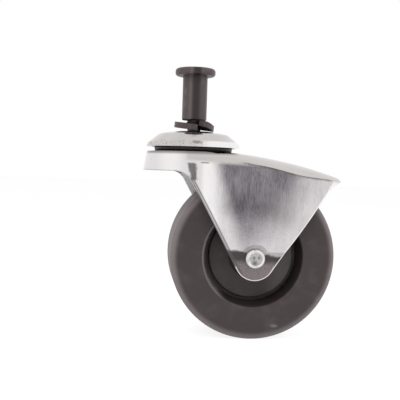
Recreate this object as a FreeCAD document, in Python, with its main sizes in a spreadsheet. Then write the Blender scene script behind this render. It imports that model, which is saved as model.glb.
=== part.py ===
"""Swivel castor: pressed fork, moulded wheel, ball swivel and a flanged barrel nut on its stud.

Millimetres, +Z up along the stud. The origin is the top of the domed cap, on the swivel axis.
+X is the trail side, where the wheel hangs behind the swivel axis, and the wheel turns about Y.
"""
import FreeCAD
import Part

import math
import os
import re

import Sketcher

DOC = FreeCAD.newDocument("swivel_castor")

# Driving dimensions
SIZES = {
    "sleeve_radius": 4.8,
    "sleeve_length": 17.1,
    "flange_radius": 7.8,
    "flange_thick": 2.9,
    "flange_round": 1.1,
    "sleeve_web": 1.4,
    "key_width": 6.0,
    "key_depth": 4.5,
    "barrel_round": 0.45,
    "stud_radius": 3.0,
    "stud_round": 0.6,
    "stud_tip_gap": 1.0,
    "thread_gap": 0.05,
    "washer_radius": 7.75,
    "washer_clear": 0.05,
    "washer_thick": 2.2,
    "washer_tilt": 6.7,
    "washer_low_at": -44.0,
    "washer_split": 17.0,
    "washer_split_at": -77.0,
    "washer_kick": 1.7,
    "washer_kick_arc": 60.0,
    "washer_seat_gap": 0.03,
    "cap_radius": 18.4,
    "cap_height": 6.2,
    "cap_flat": 7.0,
    "cap_crown": 1.0,
    "cap_crown_round": 16.0,
    "cap_slope_run": 5.0,
    "cap_shoulder_round": 4.0,
    "cap_rim": 1.4,
    "cap_rim_round": 1.2,
    "cap_rim_draft": 0.4,
    "cap_gauge": 1.5,
    "pin_radius": 4.0,
    "peen_radius": 6.4,
    "peen_height": 1.9,
    "peen_round": 1.5,
    "ball_radius": 2.0,
    "ball_gap": 0.25,
    "low_ball_radius": 1.6,
    "low_ball_pitch": 9.4,
    "race_gap": 0.03,
    "race_gauge": 1.9,
    "race_side_gap": 1.9,
    "race_rim": 2.8,
    "race_lip": 1.0,
    "low_race_radius": 12.0,
    "low_race_round": 0.75,
    "groove_depth": 0.4,
    "head_gap": 1.8,
    "head_radius": 18.0,
    "seat_radius": 15.3,
    "seat_rise": 1.0,
    "seat_draft": 0.6,
    "skirt_radius": 19.3,
    "skirt_height": 7.4,
    "flank_radius": 140.0,
    "flank_bulge": 0.5,
    "horn_gauge": 2.0,
    "pin_clear": 0.7,
    "bend_height": 2.4,
    "corner_radius": 7.0,
    "leg_slope": 29.2,
    "tip_radius": 7.7,
    "tip_drop": 0.8,
    "tail_reach": 56.0,
    "tail_drop": 9.9,
    "tail_lip_run": 6.1,
    "tail_lip_drop": 4.9,
    "hood_start": 14.0,
    "hood_fall": 0.05,
    "hood_fall_near": 1.5,
    "hood_fall_far": 4.2,
    "head_side": 4.0,
    "head_sag": 3.2,
    "hood_side": 9.3,
    "hood_sag": 8.0,
    "hood_side_near": 14.8,
    "hood_sag_near": 7.0,
    "hood_side_far": 16.5,
    "hood_sag_far": 12.35,
    "tail_side": 17.0,
    "tail_sag": 14.6,
    "trail": 23.3,
    "wheel_headroom": 15.75,
    "axle_radius": 3.0,
    "rivet_radius": 3.9,
    "rivet_height": 1.7,
    "rivet_round": 1.5,
    "coin_radius": 5.2,
    "tube_wall": 1.2,
    "running_gap": 0.04,
    "thrust_radius": 7.2,
    "thrust_thick": 0.5,
    "thrust_gap": 0.1,
    "bush_wall": 1.6,
    "wheel_radius": 31.75,
    "wheel_width": 24.0,
    "wheel_side_gap": 1.2,
    "tread_round": 2.2,
    "face_round": 0.5,
    "recess_radius": 19.05,
    "recess_draft": 1.2,
    "groove_width": 1.25,
    "groove_level": 3.4,
    "disc_level": 5.4,
    "disc_round": 0.7,
    "hub_radius": 8.0,
    "hub_draft": 0.8,
}

# Levels and fits that follow from the driving dimensions
HEAD_TOP = "-(cap_height + head_gap)"
HEAD_UNDER = f"({HEAD_TOP} - horn_gauge)"
SKIRT_LOW = f"({HEAD_TOP} - skirt_height)"
BALL_LEVEL = f"({HEAD_TOP} - groove_depth + race_gap + ball_radius)"
LOW_BALL_LEVEL = f"({HEAD_UNDER} + groove_depth - race_gap - low_ball_radius)"
LOW_RACE_TOP = f"({LOW_BALL_LEVEL} - low_ball_radius - race_gap + groove_depth)"
LOW_RACE_UNDER = f"({LOW_RACE_TOP} - race_gauge)"
CAP_SHOULDER = "(cap_radius - cap_slope_run)"
RACE_RADIUS = "(cap_radius - cap_gauge - race_side_gap)"
BALL_PITCH = f"({RACE_RADIUS} - race_rim)"
AXLE_DROP = "(wheel_radius + wheel_headroom)"
WASHER_STEPS = 24
WASHER_LIFT = "(washer_radius * sin(washer_tilt))"
WASHER_SPRUNG = "(washer_thick + washer_kick)"
WASHER_BORE = f"((stud_radius + washer_clear + {WASHER_SPRUNG} * sin(washer_tilt)) / cos(washer_tilt))"
WASHER_END = "-cos(washer_split_at + washer_split / 2 - washer_low_at)"
WASHER_END_TOP = (f"(max({WASHER_BORE} * {WASHER_END}; sleeve_radius * {WASHER_END}) * sin(washer_tilt)"
                  f" + {WASHER_SPRUNG} * cos(washer_tilt))")
WASHER_BACK_TOP = "(sleeve_radius * sin(washer_tilt) + washer_thick * cos(washer_tilt))"
SLEEVE_LOW = f"({WASHER_LIFT} + max({WASHER_END_TOP}; {WASHER_BACK_TOP}) + washer_seat_gap)"
FLANGE_UNDER = f"({SLEEVE_LOW} + sleeve_length)"
FLANGE_TOP = f"({FLANGE_UNDER} + flange_thick)"
STUD_TOP = f"({FLANGE_TOP} - key_depth - sleeve_web - stud_tip_gap)"
BEND_LEVEL = f"(bend_height - {AXLE_DROP})"
LEG_INNER = "(wheel_width / 2 + wheel_side_gap)"
LEG_HALF = f"({LEG_INNER} + horn_gauge)"
FLANK_REACH = "(skirt_radius + flank_bulge + horn_gauge)"
TUBE_RADIUS = "(axle_radius + running_gap + tube_wall)"
BUSH_BORE = f"({TUBE_RADIUS} + running_gap)"
HUB_BORE = f"({BUSH_BORE} + bush_wall)"
HUB_HALF = f"({LEG_INNER} - thrust_thick - thrust_gap)"
RIVET_END = f"({LEG_HALF} + rivet_height)"


def fill_sheet():
    """Write the driving dimensions into the spreadsheet, one alias for each."""
    sheet = DOC.addObject("Spreadsheet::Sheet", "Sizes")
    for row, (alias, value) in enumerate(SIZES.items(), start=1):
        sheet.set(f"A{row}", alias)
        sheet.set(f"B{row}", str(value))
        sheet.setAlias(f"B{row}", alias)
    DOC.recompute()
    return sheet


SHEET = fill_sheet()


def bind(formula):
    """Point each alias in a formula at the spreadsheet."""
    def link(match):
        word = match.group(0)
        return f"Sizes.{word}" if word in SIZES else word

    return re.sub(r"[a-z_]+", link, str(formula))


def value_of(formula):
    """Work a formula out as a number."""
    return float(SHEET.evalExpression(str(formula)))


def new_body(label, place=None):
    """Start a body, moved to a place given by three formulas."""
    body = DOC.addObject("PartDesign::Body", label)
    body.Label = label
    for axis, formula in zip("xyz", place or ()):
        body.setExpression(f"Placement.Base.{axis}", bind(formula))
    return body


def origin_part(body, role):
    """Return one plane or axis of a body's own origin."""
    return next(part for part in body.Origin.OriginFeatures if part.Role == role)


def new_sketch(body, name, plane, offset=None):
    """Attach a sketch to one of the body's origin planes, at an offset along the plane's normal."""
    sketch = body.newObject("Sketcher::SketchObject", name)
    sketch.AttachmentSupport = (origin_part(body, plane), [""])
    sketch.MapMode = "FlatFace"
    if offset is not None:
        sketch.setExpression("AttachmentOffset.Base.z", bind(offset))
    return sketch


def vector(x, y):
    """Return a point of a sketch from two formulas."""
    return FreeCAD.Vector(value_of(x), value_of(y), 0)


def constrain(sketch, name, formula, *terms):
    """Add a named constraint whose value follows a formula."""
    kind = terms[0]
    number = value_of(formula)
    if kind == "Angle":
        number = math.radians(number)
    index = sketch.addConstraint(Sketcher.Constraint(*terms, number))
    sketch.renameConstraint(index, name)
    suffix = " * 1 deg" if kind == "Angle" else ""
    sketch.setExpression(f"Constraints.{name}", f"({bind(formula)}){suffix}")


def pin_point(sketch, name, element, end, x, y):
    """Hold one end of an element at two formulas, measured from the sketch's origin."""
    for formula, kind, axis in ((x, "DistanceX", -2), (y, "DistanceY", -1)):
        if str(formula) == "0":
            sketch.addConstraint(Sketcher.Constraint("PointOnObject", element, end, axis))
        else:
            constrain(sketch, f"{name}{kind[-1]}", formula, kind, -1, 1, element, end)


def draw_polygon(sketch, corners):
    """Draw a closed polygon whose corners are pairs of formulas."""
    points = [vector(x, y) for x, y in corners]
    count = len(points)
    lines = [Part.LineSegment(points[i], points[(i + 1) % count]) for i in range(count)]
    sketch.addGeometry(lines, False)
    for i in range(count):
        sketch.addConstraint(Sketcher.Constraint("Coincident", i, 2, (i + 1) % count, 1))
    for i, (x, y) in enumerate(corners):
        pin_point(sketch, f"corner{i}", i, 1, x, y)
    return sketch


def revolve(body, sketch, axis, groove=False):
    """Turn a profile all the way round one axis of its sketch."""
    kind = "Groove" if groove else "Revolution"
    turn = body.newObject(f"PartDesign::{kind}", f"{sketch.Name}_turn")
    turn.Profile = sketch
    turn.ReferenceAxis = (sketch, [axis])
    turn.Angle = 360
    DOC.recompute()
    return turn


def turned(label, corners, axis="V_Axis", plane="XZ_Plane", place=None):
    """Make a turned body from a polygon of (radius, height) or (length, radius) corners."""
    body = new_body(label, place)
    sketch = new_sketch(body, f"{label}_profile", plane)
    draw_polygon(sketch, corners)
    revolve(body, sketch, axis)
    return body


def ring_edges(shape, radius, level, axis="z", slack=0.02):
    """Name the full circles of a radius whose centres lie at a level along an axis."""
    names = []
    for number, edge in enumerate(shape.Edges, start=1):
        curve = edge.Curve
        if not isinstance(curve, Part.Circle) or edge.Length < math.pi * curve.Radius:
            continue
        if abs(curve.Radius - radius) < slack and abs(getattr(curve.Center, axis) - level) < slack:
            names.append(f"Edge{number}")
    return names


def round_rings(body, name, size, rings, axis="z"):
    """Round circular edges, each given by its radius and its level."""
    base = body.Tip
    names = []
    for radius, level in rings:
        found = ring_edges(base.Shape, value_of(radius), value_of(level), axis)
        if not found:
            raise ValueError(f"{name}: no edge of radius {radius} at {level}")
        names += found
    fillet = body.newObject("PartDesign::Fillet", name)
    fillet.Base = (base, names)
    fillet.setExpression("Radius", bind(size))
    DOC.recompute()
    return fillet


def pad(body, sketch, length, symmetric=False, reverse=False):
    """Push a profile out by a length."""
    push = body.newObject("PartDesign::Pad", f"{sketch.Name}_pad")
    push.Profile = sketch
    push.setExpression("Length", bind(length))
    push.SideType = "Symmetric" if symmetric else "One side"
    push.Reversed = reverse
    DOC.recompute()
    return push


def groove_ring(body, name, ball, pitch, level):
    """Cut the running groove of a row of balls."""
    sketch = new_sketch(body, name, "XZ_Plane")
    radius = f"{ball} + race_gap"
    sketch.addGeometry(Part.Circle(vector(pitch, level), FreeCAD.Vector(0, 0, 1), value_of(radius)))
    constrain(sketch, "groove_radius", radius, "Radius", 0)
    pin_point(sketch, "centre", 0, 3, pitch, level)
    return revolve(body, sketch, "V_Axis", groove=True)


def make_stud():
    """King pin and stud in one: peened foot, pin through the bearing, thinner stud above."""
    body = turned("stud", [
        ("0", STUD_TOP),
        ("stud_radius", STUD_TOP),
        ("stud_radius", "0"),
        ("pin_radius", "0"),
        ("pin_radius", LOW_RACE_UNDER),
        ("peen_radius", LOW_RACE_UNDER),
        ("peen_radius", f"{LOW_RACE_UNDER} - peen_height"),
        ("0", f"{LOW_RACE_UNDER} - peen_height"),
    ])
    round_rings(body, "stud_tip", "stud_round", [("stud_radius", STUD_TOP)])
    round_rings(body, "peened_foot", "peen_round", [("peen_radius", f"{LOW_RACE_UNDER} - peen_height")])
    return body


def make_barrel_nut():
    """Barrel nut: round flange, plain barrel, blind bore below and a hexagon socket above."""
    bore = "(stud_radius + thread_gap)"
    bore_end = f"({FLANGE_TOP} - key_depth - sleeve_web)"
    body = turned("barrel_nut", [
        ("0", bore_end),
        (bore, bore_end),
        (bore, SLEEVE_LOW),
        ("sleeve_radius", SLEEVE_LOW),
        ("sleeve_radius", FLANGE_UNDER),
        ("flange_radius", FLANGE_UNDER),
        ("flange_radius", FLANGE_TOP),
        ("0", FLANGE_TOP),
    ])
    round_rings(body, "flange_edges", "flange_round",
                [("flange_radius", FLANGE_UNDER), ("flange_radius", FLANGE_TOP)])
    round_rings(body, "barrel_end", "barrel_round", [("sleeve_radius", SLEEVE_LOW)])
    socket = new_sketch(body, "key_socket", "XY_Plane", FLANGE_TOP)
    point = "key_width / sqrt(3)"
    draw_polygon(socket, [
        ("key_width / 2", f"{point} / 2"),
        ("0", point),
        ("-key_width / 2", f"{point} / 2"),
        ("-key_width / 2", f"-{point} / 2"),
        ("0", f"-{point}"),
        ("key_width / 2", f"-{point} / 2"),
    ])
    cut = body.newObject("PartDesign::Pocket", "key_pocket")
    cut.Profile = socket
    cut.setExpression("Length", bind("key_depth"))
    DOC.recompute()
    return body


def washer_solid():
    """Sweep the washer's square section round a flat ring whose last stretch is bent up."""
    split = value_of("washer_split")
    start = value_of("washer_split_at") - split / 2
    sweep = 360 - split
    kick_arc = value_of("washer_kick_arc")
    kick = value_of("washer_kick")
    thick = value_of("washer_thick")
    inner = value_of(WASHER_BORE)
    outer = value_of("washer_radius")
    walls = []
    for radius in (inner, outer):
        rails = {0: [], thick: []}
        for step in range(WASHER_STEPS + 1):
            along = sweep * step / WASHER_STEPS
            rise = max(0.0, 1 - along / kick_arc)
            lift = kick * rise * rise * (3 - 2 * rise)
            turn = math.radians(start - sweep + along)
            for base, points in rails.items():
                points.append(FreeCAD.Vector(radius * math.cos(turn), radius * math.sin(turn), base + lift))
        for points in rails.values():
            curve = Part.BSplineCurve()
            curve.interpolate(points)
            walls.append(curve.toShape())
    inner_low, inner_high, outer_low, outer_high = walls
    faces = [
        Part.makeRuledSurface(inner_low, inner_high),
        Part.makeRuledSurface(outer_low, outer_high),
        Part.makeRuledSurface(inner_low, outer_low),
        Part.makeRuledSurface(inner_high, outer_high),
    ]
    for end in (0, -1):
        corners = [rail.Vertexes[end].Point for rail in (inner_low, inner_high, outer_high, outer_low)]
        faces.append(Part.Face(Part.makePolygon(corners + corners[:1])))
    shell = Part.Shell(faces)
    shell.sewShape()
    solid = Part.Solid(Part.Shell(shell.Faces))
    if solid.Volume < 0:
        solid.reverse()
    return solid


def make_lock_washer():
    """Split spring washer, leaning against the stud with its high end under the barrel."""
    washer = DOC.addObject("Part::Feature", "lock_washer")
    washer.Label = "lock_washer"
    washer.Shape = washer_solid()
    low_at = math.radians(value_of("washer_low_at"))
    hinge = FreeCAD.Vector(-math.sin(low_at), math.cos(low_at), 0)
    tilt = FreeCAD.Rotation(hinge, value_of("washer_tilt"))
    lift = FreeCAD.Vector(0, 0, value_of(WASHER_LIFT))
    washer.Placement = FreeCAD.Placement(lift, tilt)
    return washer


def make_cap():
    """Domed cap: a pressed cover with a flat crown, a sloping shoulder and a plain rim."""
    rim_top = "-(cap_height - cap_rim)"
    body = turned("dome_cap", [
        ("0", "0"),
        ("cap_flat", "0"),
        (CAP_SHOULDER, "-cap_crown"),
        ("cap_radius - cap_rim_draft", rim_top),
        ("cap_radius", "-cap_height"),
        ("0", "-cap_height"),
    ])
    round_rings(body, "cap_crown_edge", "cap_crown_round", [("cap_flat", "0")])
    round_rings(body, "cap_shoulder_edge", "cap_shoulder_round", [(CAP_SHOULDER, "-cap_crown")])
    round_rings(body, "cap_rim_edge", "cap_rim_round", [("cap_radius - cap_rim_draft", rim_top)])
    base = body.Tip
    floor = min(range(len(base.Shape.Faces)), key=lambda i: base.Shape.Faces[i].CenterOfMass.z)
    shell = body.newObject("PartDesign::Thickness", "cap_shell")
    shell.Base = (base, [f"Face{floor + 1}"])
    shell.setExpression("Value", bind("cap_gauge"))
    shell.Reversed = True
    shell.Join = 1
    DOC.recompute()
    hole = new_sketch(body, "cap_hole", "XY_Plane")
    hole.addGeometry(Part.Circle(FreeCAD.Vector(), FreeCAD.Vector(0, 0, 1), value_of("pin_radius")))
    hole.addConstraint(Sketcher.Constraint("Coincident", 0, 3, -1, 1))
    constrain(hole, "hole_radius", "pin_radius", "Radius", 0)
    cut = body.newObject("PartDesign::Pocket", "cap_hole_cut")
    cut.Profile = hole
    cut.Type = 1
    DOC.recompute()
    return body


def make_upper_race():
    """Pressed bearing plate under the cap, with the groove of the upper row."""
    hub_under = "-(cap_gauge + race_gauge)"
    lip_under = f"({BALL_LEVEL} + ball_radius - race_lip)"
    body = turned("upper_race", [
        ("pin_radius", "-cap_gauge"),
        ("cap_flat - race_lip", "-cap_gauge"),
        (BALL_PITCH, "-(cap_gauge + cap_crown)"),
        (RACE_RADIUS, f"{lip_under} + race_lip"),
        (RACE_RADIUS, lip_under),
        (BALL_PITCH, lip_under),
        (f"{BALL_PITCH} - ball_radius", lip_under),
        ("cap_flat + race_gauge / 2", hub_under),
        ("pin_radius", hub_under),
    ])
    groove_ring(body, "upper_groove", "ball_radius", BALL_PITCH, BALL_LEVEL)
    return body


def make_lower_race():
    """Bearing plate under the horn's head, held by the peened foot of the king pin."""
    body = turned("lower_race", [
        ("pin_radius", LOW_RACE_TOP),
        ("low_race_radius", LOW_RACE_TOP),
        ("low_race_radius", LOW_RACE_UNDER),
        ("pin_radius", LOW_RACE_UNDER),
    ])
    round_rings(body, "lower_race_edge", "low_race_round", [("low_race_radius", LOW_RACE_UNDER)])
    groove_ring(body, "lower_groove", "low_ball_radius", "low_ball_pitch", LOW_BALL_LEVEL)
    return body


def make_balls(label, radius, pitch, level):
    """Row of loose balls round the swivel axis, as many as the ring holds."""
    spacing = 2 * value_of(radius) + value_of("ball_gap")
    count = int(2 * math.pi * value_of(pitch) // spacing)
    balls = []
    for number in range(count):
        ball = DOC.addObject("Part::Sphere", f"{label}_{number}")
        turn = 360 * number / count
        ball.setExpression("Radius", bind(radius))
        ball.setExpression("Placement.Base.x", bind(f"{pitch} * cos({turn})"))
        ball.setExpression("Placement.Base.y", bind(f"{pitch} * sin({turn})"))
        ball.setExpression("Placement.Base.z", bind(level))
        balls.append(ball)
    row = DOC.addObject("Part::Compound", label)
    row.Label = label
    row.Links = balls
    return row


def draw_plan(sketch, front, half, bow):
    """Plan of the fork at one level: round front, two bowed flanks and a straight tail line."""
    far = "(tail_reach + 2 * horn_gauge)"
    drop = f"({bow} - {half})"
    centre = math.sqrt((value_of(bow) - value_of(front)) ** 2 - value_of(drop) ** 2)
    share = value_of(front) / (value_of(bow) - value_of(front))
    touch = FreeCAD.Vector(-centre * share, value_of(drop) * share, 0)
    reach = value_of(far)
    tail_half = math.sqrt(value_of(bow) ** 2 - (reach - centre) ** 2) - value_of(drop)
    tail = FreeCAD.Vector(reach, tail_half, 0)
    crest = FreeCAD.Vector(centre, value_of(half), 0)
    low_touch, low_tail, low_crest = (FreeCAD.Vector(p.x, -p.y, 0) for p in (touch, tail, crest))
    sketch.addGeometry([
        Part.Arc(touch, FreeCAD.Vector(-value_of(front), 0, 0), low_touch),
        Part.Arc(low_touch, low_crest, low_tail),
        Part.LineSegment(low_tail, tail),
        Part.Arc(tail, crest, touch),
    ], False)
    sketch.addConstraint([
        Sketcher.Constraint("Tangent", 0, 2, 1, 1),
        Sketcher.Constraint("Coincident", 1, 2, 2, 1),
        Sketcher.Constraint("Coincident", 2, 2, 3, 1),
        Sketcher.Constraint("Tangent", 3, 2, 0, 1),
        Sketcher.Constraint("Coincident", 0, 3, -1, 1),
        Sketcher.Constraint("Equal", 1, 3),
    ])
    constrain(sketch, "front", front, "Radius", 0)
    constrain(sketch, "bow", bow, "Radius", 1)
    constrain(sketch, "near_centre", drop, "DistanceY", -1, 1, 1, 3)
    constrain(sketch, "far_centre", f"-{drop}", "DistanceY", -1, 1, 3, 3)
    constrain(sketch, "near_tail", far, "DistanceX", -1, 1, 2, 1)
    constrain(sketch, "far_tail", far, "DistanceX", -1, 1, 2, 2)
    return sketch


def draw_foot(sketch, half):
    """Plan of the fork at its feet: round front and two straight, flat flanks."""
    far = "(tail_reach + 2 * horn_gauge)"
    touch, tail = vector("0", half), vector(far, half)
    low_touch, low_tail = (FreeCAD.Vector(p.x, -p.y, 0) for p in (touch, tail))
    sketch.addGeometry([
        Part.Arc(touch, FreeCAD.Vector(-touch.y, 0, 0), low_touch),
        Part.LineSegment(low_touch, low_tail),
        Part.LineSegment(low_tail, tail),
        Part.LineSegment(tail, touch),
    ], False)
    sketch.addConstraint([
        Sketcher.Constraint("Tangent", 0, 2, 1, 1),
        Sketcher.Constraint("Coincident", 1, 2, 2, 1),
        Sketcher.Constraint("Coincident", 2, 2, 3, 1),
        Sketcher.Constraint("Tangent", 3, 2, 0, 1),
        Sketcher.Constraint("Coincident", 0, 3, -1, 1),
        Sketcher.Constraint("Horizontal", 1),
        Sketcher.Constraint("Horizontal", 3),
    ])
    constrain(sketch, "front", half, "Radius", 0)
    constrain(sketch, "near_tail", far, "DistanceX", -1, 1, 2, 1)
    constrain(sketch, "far_tail", far, "DistanceX", -1, 1, 2, 2)
    return sketch


def draw_crown(sketch, half, top, run, radius):
    """Section above the hood: a level middle that rolls off over a run and a radius to both sides."""
    flat = f"({half} - {run})"
    edge = f"({top} - {radius} + sqrt({radius}^2 - {run}^2))"
    roof = f"({HEAD_TOP} + skirt_height)"
    centre_y, centre_z = value_of(flat), value_of(f"{top} - {radius}")
    roll = math.asin(value_of(run) / value_of(radius)) / 2
    across, rise = value_of(radius) * math.sin(roll), value_of(radius) * math.cos(roll)
    right, left = (vector(x, edge) for x in (half, f"-{half}"))
    flat_right, flat_left = (vector(x, top) for x in (flat, f"-{flat}"))
    right_roof, left_roof = (vector(x, roof) for x in (half, f"-{half}"))
    sketch.addGeometry([
        Part.Arc(right, FreeCAD.Vector(centre_y + across, centre_z + rise, 0), flat_right),
        Part.LineSegment(flat_right, flat_left),
        Part.Arc(flat_left, FreeCAD.Vector(-centre_y - across, centre_z + rise, 0), left),
        Part.LineSegment(left, left_roof),
        Part.LineSegment(left_roof, right_roof),
        Part.LineSegment(right_roof, right),
    ], False)
    sketch.addConstraint([
        Sketcher.Constraint("Tangent", 0, 2, 1, 1),
        Sketcher.Constraint("Tangent", 1, 2, 2, 1),
        Sketcher.Constraint("Coincident", 2, 2, 3, 1),
        Sketcher.Constraint("Coincident", 3, 2, 4, 1),
        Sketcher.Constraint("Coincident", 4, 2, 5, 1),
        Sketcher.Constraint("Coincident", 5, 2, 0, 1),
    ])
    pin_point(sketch, "right", 0, 1, half, edge)
    pin_point(sketch, "flat_right", 1, 1, flat, top)
    pin_point(sketch, "flat_left", 1, 2, f"-{flat}", top)
    pin_point(sketch, "left", 3, 1, f"-{half}", edge)
    pin_point(sketch, "left_roof", 4, 1, f"-{half}", roof)
    pin_point(sketch, "right_roof", 5, 1, half, roof)
    return sketch


def horn_form(label, inset):
    """Solid form of the fork, drawn in by an inset: flanks, head and hood, before its legs are cut."""
    body = new_body(label)
    top = f"({HEAD_TOP} - {inset})"
    plans = []
    for level, name in ((top, "head"), (SKIRT_LOW, "skirt")):
        sketch = new_sketch(body, f"{label}_{name}", "XY_Plane", level)
        front = f"({name}_radius - {inset})"
        draw_plan(sketch, front, f"({front} + flank_bulge)", f"(flank_radius - {inset})")
        plans.append(sketch)
    bend = new_sketch(body, f"{label}_bend", "XY_Plane", BEND_LEVEL)
    plans.append(draw_foot(bend, f"({LEG_HALF} - {inset})"))
    flanks = body.newObject("PartDesign::AdditiveLoft", f"{label}_flanks")
    flanks.Profile = plans[0]
    flanks.Sections = plans[1:]
    DOC.recompute()
    foot = new_sketch(body, f"{label}_foot", "XY_Plane", BEND_LEVEL)
    draw_foot(foot, f"({LEG_HALF} - {inset})")
    pad(body, foot, "bend_height + tip_drop + 2 * tip_radius", reverse=True)
    stations = [
        ("0", "0", "head_side", "head_sag"),
        ("hood_start", "hood_fall", "hood_side", "hood_sag"),
        ("hood_start + (tail_reach - hood_start) / 3", "hood_fall_near", "hood_side_near", "hood_sag_near"),
        ("hood_start + (tail_reach - hood_start) * 2 / 3", "hood_fall_far", "hood_side_far", "hood_sag_far"),
        ("tail_reach + horn_gauge", "tail_drop + horn_gauge / 2", "tail_side", "tail_sag"),
    ]
    arches = []
    for number, (station, fall, run, sag) in enumerate(stations):
        sketch = new_sketch(body, f"{label}_arch{number}", "YZ_Plane", station)
        radius = f"(({run}^2 + {sag}^2) / (2 * {sag}) - {inset})"
        draw_crown(sketch, f"({FLANK_REACH} - {inset})", f"({top} - {fall})", f"({run} - {inset})", radius)
        arches.append(sketch)
    hood = body.newObject("PartDesign::SubtractiveLoft", f"{label}_hood")
    hood.Profile = arches[0]
    hood.Sections = arches[1:]
    DOC.recompute()
    return body


def draw_side(sketch):
    """Side outline of the fork: level skirt, concave corner, leg, round tip, rear edge and tail lip."""
    left = "-(skirt_radius + horn_gauge)"
    roof = "horn_gauge"
    tip_x, tip_z = "trail", f"-({AXLE_DROP} + tip_drop)"
    lip_x, lip_z = "tail_reach - tail_lip_run", f"{HEAD_TOP} - tail_drop - tail_lip_drop"
    tail_z = f"({HEAD_TOP} - tail_drop)"
    slope = math.radians(value_of("leg_slope"))
    heading = FreeCAD.Vector(math.sin(slope), -math.cos(slope), 0)
    side = FreeCAD.Vector(math.cos(slope), math.sin(slope), 0)
    tip = vector(tip_x, tip_z)
    radius = value_of("tip_radius")
    leg_end = tip - side * radius
    corner_r = value_of("corner_radius")
    corner_z = value_of(SKIRT_LOW) - corner_r
    leg_start_z = corner_z + side.y * corner_r
    leg_start = leg_end + heading * ((leg_start_z - leg_end.y) / heading.y)
    corner = FreeCAD.Vector(leg_start.x - side.x * corner_r, corner_z, 0)
    corner_start = FreeCAD.Vector(corner.x, value_of(SKIRT_LOW), 0)
    tail = vector("tail_reach", tail_z)
    lip_start = vector(lip_x, lip_z)
    reach = lip_start - tip
    turn = math.atan2(reach.y, reach.x) - math.acos(radius / reach.Length)
    out = FreeCAD.Vector(math.cos(turn), math.sin(turn), 0)
    edge_start = tip + out * radius
    lip = tail - lip_start
    lip_r = lip.dot(lip) / (2 * lip.dot(out))
    lip_centre = lip_start + out * lip_r
    lip_middle = lip_centre + (lip_start + lip * 0.5 - lip_centre).normalize() * lip_r
    corner_middle = corner + (corner_start - corner + leg_start - corner).normalize() * corner_r
    top_left, low_left = vector(left, roof), vector(left, SKIRT_LOW)
    top_right = vector("tail_reach", roof)
    sketch.addGeometry([
        Part.LineSegment(top_left, low_left),
        Part.LineSegment(low_left, corner_start),
        Part.Arc(leg_start, corner_middle, corner_start),
        Part.LineSegment(leg_start, leg_end),
        Part.Arc(leg_end, tip - FreeCAD.Vector(0, radius, 0), edge_start),
        Part.LineSegment(edge_start, lip_start),
        Part.Arc(tail, lip_middle, lip_start),
        Part.LineSegment(tail, top_right),
        Part.LineSegment(top_right, top_left),
    ], False)
    sketch.addConstraint([
        Sketcher.Constraint("Coincident", 0, 2, 1, 1),
        Sketcher.Constraint("Tangent", 1, 2, 2, 2),
        Sketcher.Constraint("Tangent", 2, 1, 3, 1),
        Sketcher.Constraint("Tangent", 3, 2, 4, 1),
        Sketcher.Constraint("Tangent", 4, 2, 5, 1),
        Sketcher.Constraint("Tangent", 5, 2, 6, 2),
        Sketcher.Constraint("Coincident", 6, 1, 7, 1),
        Sketcher.Constraint("Coincident", 7, 2, 8, 1),
        Sketcher.Constraint("Coincident", 8, 2, 0, 1),
        Sketcher.Constraint("Horizontal", 1),
        Sketcher.Constraint("Vertical", 7),
    ])
    pin_point(sketch, "top_left", 0, 1, left, roof)
    pin_point(sketch, "low_left", 0, 2, left, SKIRT_LOW)
    constrain(sketch, "corner", "corner_radius", "Radius", 2)
    constrain(sketch, "slope", "leg_slope - 90", "Angle", 3)
    pin_point(sketch, "tip", 4, 3, tip_x, tip_z)
    constrain(sketch, "tip_radius", "tip_radius", "Radius", 4)
    pin_point(sketch, "lip", 5, 2, lip_x, lip_z)
    pin_point(sketch, "tail", 6, 1, "tail_reach", tail_z)
    constrain(sketch, "roof", roof, "DistanceY", -1, 1, 7, 2)
    return sketch


def disc(label, place, radius, low, high):
    """Plain upright cylinder between two levels, as a cutting tool or a boss."""
    shape = DOC.addObject("Part::Cylinder", label)
    shape.setExpression("Radius", bind(radius))
    shape.setExpression("Height", bind(f"({high}) - ({low})"))
    for axis, formula in zip("xyz", (*place, low)):
        shape.setExpression(f"Placement.Base.{axis}", bind(formula))
    return shape


def cross_disc(label, radius, start, end):
    """Plain cylinder on the wheel's axle line, from one distance to another across the middle."""
    shape = DOC.addObject("Part::Cylinder", label)
    shape.setExpression("Radius", bind(radius))
    shape.setExpression("Height", bind(f"({end}) - ({start})"))
    shape.Placement.Rotation = FreeCAD.Rotation(FreeCAD.Vector(1, 0, 0), 90)
    for axis, formula in zip("xyz", ("trail", end, f"-{AXLE_DROP}")):
        shape.setExpression(f"Placement.Base.{axis}", bind(formula))
    return shape


def ball_track(label, ball, pitch, level):
    """Ring that cuts the running groove of a row of balls."""
    ring = DOC.addObject("Part::Torus", label)
    ring.setExpression("Radius1", bind(pitch))
    ring.setExpression("Radius2", bind(f"{ball} + race_gap"))
    ring.setExpression("Placement.Base.z", bind(level))
    return ring


def combine(kind, label, base, tool):
    """Join, cut or intersect two shapes."""
    result = DOC.addObject(f"Part::{kind}", label)
    result.Label = label
    result.Base = base
    result.Tool = tool
    DOC.recompute()
    return result


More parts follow.
